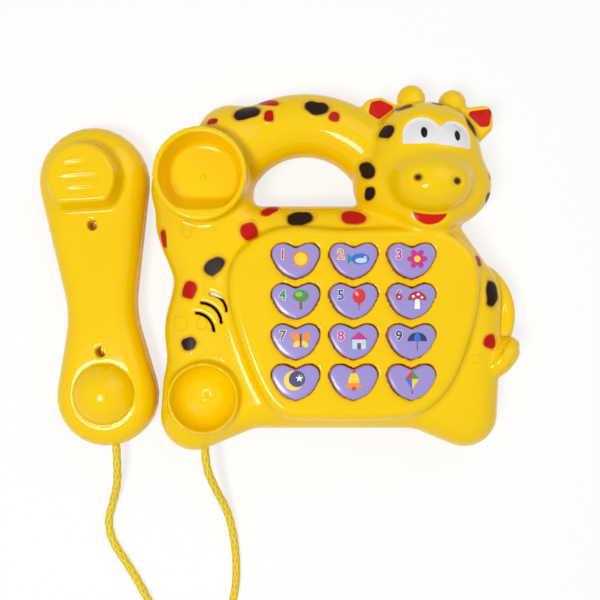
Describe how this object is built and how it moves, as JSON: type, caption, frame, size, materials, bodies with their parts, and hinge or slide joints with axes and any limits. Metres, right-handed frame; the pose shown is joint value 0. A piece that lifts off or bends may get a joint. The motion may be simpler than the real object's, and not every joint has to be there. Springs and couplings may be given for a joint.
{
  "type": "toy telephone",
  "caption": "Giraffe-shaped musical toy telephone with a neck handle, heart keys, two handset cups and a separate corded handset.",
  "frame": {"origin": "on the flat back of the base, behind the middle of the keypad", "axes": "+X from the front foot to the hind foot, +Y from the feet to the neck, +Z out of the keypad, away from the back"},
  "size_m": [0.2465, 0.2924, 0.0605],
  "materials": {
    "yellow_shell": "glossy moulded plastic with sprayed spots",
    "lavender_key": "glossy moulded plastic with printed pictures",
    "yellow_braid": "braided cord",
    "screw_steel": "zinc plated",
    "green_board": "solder mask",
    "black_resin": "cast resin",
    "grey_rubber": "moulded silicone",
    "pressed_steel": "pressed and plated",
    "cone_paper": "coated paper",
    "dark_magnet": "bare ferrite",
    "black_plastic": "moulded",
    "red_wire": "insulated wire",
    "battery_sleeve": "printed sleeve, left plain",
    "contact_metal": "nickel plated"
  },
  "bodies": {
    "base": {"front_shell": "yellow_shell", "back_shell": "yellow_shell", "handset_cord": "yellow_braid", "base_cord_knot": "yellow_braid", "shell_screws": "screw_steel", "board_screws": "screw_steel", "clamp_screws": "screw_steel", "circuit_board": "green_board", "chip_blob": "black_resin", "keypad_mat": "grey_rubber", "speaker_frame": "pressed_steel", "speaker_cone": "cone_paper", "speaker_magnet": "dark_magnet", "speaker_clamp": "black_plastic", "speaker_wires": "red_wire", "battery_1": "battery_sleeve", "battery_2": "battery_sleeve", "battery_link": "contact_metal", "battery_contacts": "contact_metal", "battery_springs": "contact_metal", "switch_case": "black_plastic"},
    "handset": {"handset_front": "yellow_shell", "handset_back": "yellow_shell", "handset_screws": "screw_steel", "handset_cord_knot": "yellow_braid"},
    "battery_door": {"battery_door": "yellow_shell", "door_screws": "screw_steel"},
    "power_switch": {"switch_knob": "black_plastic"},
    "key_1": {"key_1": "lavender_key"},
    "key_2": {"key_2": "lavender_key"},
    "key_3": {"key_3": "lavender_key"},
    "key_4": {"key_4": "lavender_key"},
    "key_5": {"key_5": "lavender_key"},
    "key_6": {"key_6": "lavender_key"},
    "key_7": {"key_7": "lavender_key"},
    "key_8": {"key_8": "lavender_key"},
    "key_9": {"key_9": "lavender_key"},
    "key_mode": {"key_mode": "lavender_key"},
    "key_music": {"key_music": "lavender_key"},
    "key_quiz": {"key_quiz": "lavender_key"}
  },
  "joints": [
    {"name": "key_1_press", "type": "slide", "parent": "base", "child": "key_1", "axis": [0, 0, -1], "range_m": [0, 0.002], "stiffness_N_per_m": 300, "springref_m": -0.001, "deforming": ["keypad_mat"]},
    {"name": "key_2_press", "type": "slide", "parent": "base", "child": "key_2", "axis": [0, 0, -1], "range_m": [0, 0.002], "stiffness_N_per_m": 300, "springref_m": -0.001, "deforming": ["keypad_mat"]},
    {"name": "key_3_press", "type": "slide", "parent": "base", "child": "key_3", "axis": [0, 0, -1], "range_m": [0, 0.002], "stiffness_N_per_m": 300, "springref_m": -0.001, "deforming": ["keypad_mat"]},
    {"name": "key_4_press", "type": "slide", "parent": "base", "child": "key_4", "axis": [0, 0, -1], "range_m": [0, 0.002], "stiffness_N_per_m": 300, "springref_m": -0.001, "deforming": ["keypad_mat"]},
    {"name": "key_5_press", "type": "slide", "parent": "base", "child": "key_5", "axis": [0, 0, -1], "range_m": [0, 0.002], "stiffness_N_per_m": 300, "springref_m": -0.001, "deforming": ["keypad_mat"]},
    {"name": "key_6_press", "type": "slide", "parent": "base", "child": "key_6", "axis": [0, 0, -1], "range_m": [0, 0.002], "stiffness_N_per_m": 300, "springref_m": -0.001, "deforming": ["keypad_mat"]},
    {"name": "key_7_press", "type": "slide", "parent": "base", "child": "key_7", "axis": [0, 0, -1], "range_m": [0, 0.002], "stiffness_N_per_m": 300, "springref_m": -0.001, "deforming": ["keypad_mat"]},
    {"name": "key_8_press", "type": "slide", "parent": "base", "child": "key_8", "axis": [0, 0, -1], "range_m": [0, 0.002], "stiffness_N_per_m": 300, "springref_m": -0.001, "deforming": ["keypad_mat"]},
    {"name": "key_9_press", "type": "slide", "parent": "base", "child": "key_9", "axis": [0, 0, -1], "range_m": [0, 0.002], "stiffness_N_per_m": 300, "springref_m": -0.001, "deforming": ["keypad_mat"]},
    {"name": "key_mode_press", "type": "slide", "parent": "base", "child": "key_mode", "axis": [0, 0, -1], "range_m": [0, 0.002], "stiffness_N_per_m": 300, "springref_m": -0.001, "deforming": ["keypad_mat"]},
    {"name": "key_music_press", "type": "slide", "parent": "base", "child": "key_music", "axis": [0, 0, -1], "range_m": [0, 0.002], "stiffness_N_per_m": 300, "springref_m": -0.001, "deforming": ["keypad_mat"]},
    {"name": "key_quiz_press", "type": "slide", "parent": "base", "child": "key_quiz", "axis": [0, 0, -1], "range_m": [0, 0.002], "stiffness_N_per_m": 300, "springref_m": -0.001, "deforming": ["keypad_mat"]},
    {"name": "handset_lift", "type": "slide", "parent": "base", "child": "handset", "axis": [0, 0, 1], "range_m": [0, 0.12], "deforming": ["handset_cord"]},
    {"name": "battery_door_release", "type": "slide", "parent": "base", "child": "battery_door", "axis": [0, 0, -1], "range_m": [0, 0.03]},
    {"name": "power_switch_slide", "type": "slide", "parent": "base", "child": "power_switch", "axis": [1, 0, 0], "range_m": [0, 0.003]}
  ]
}
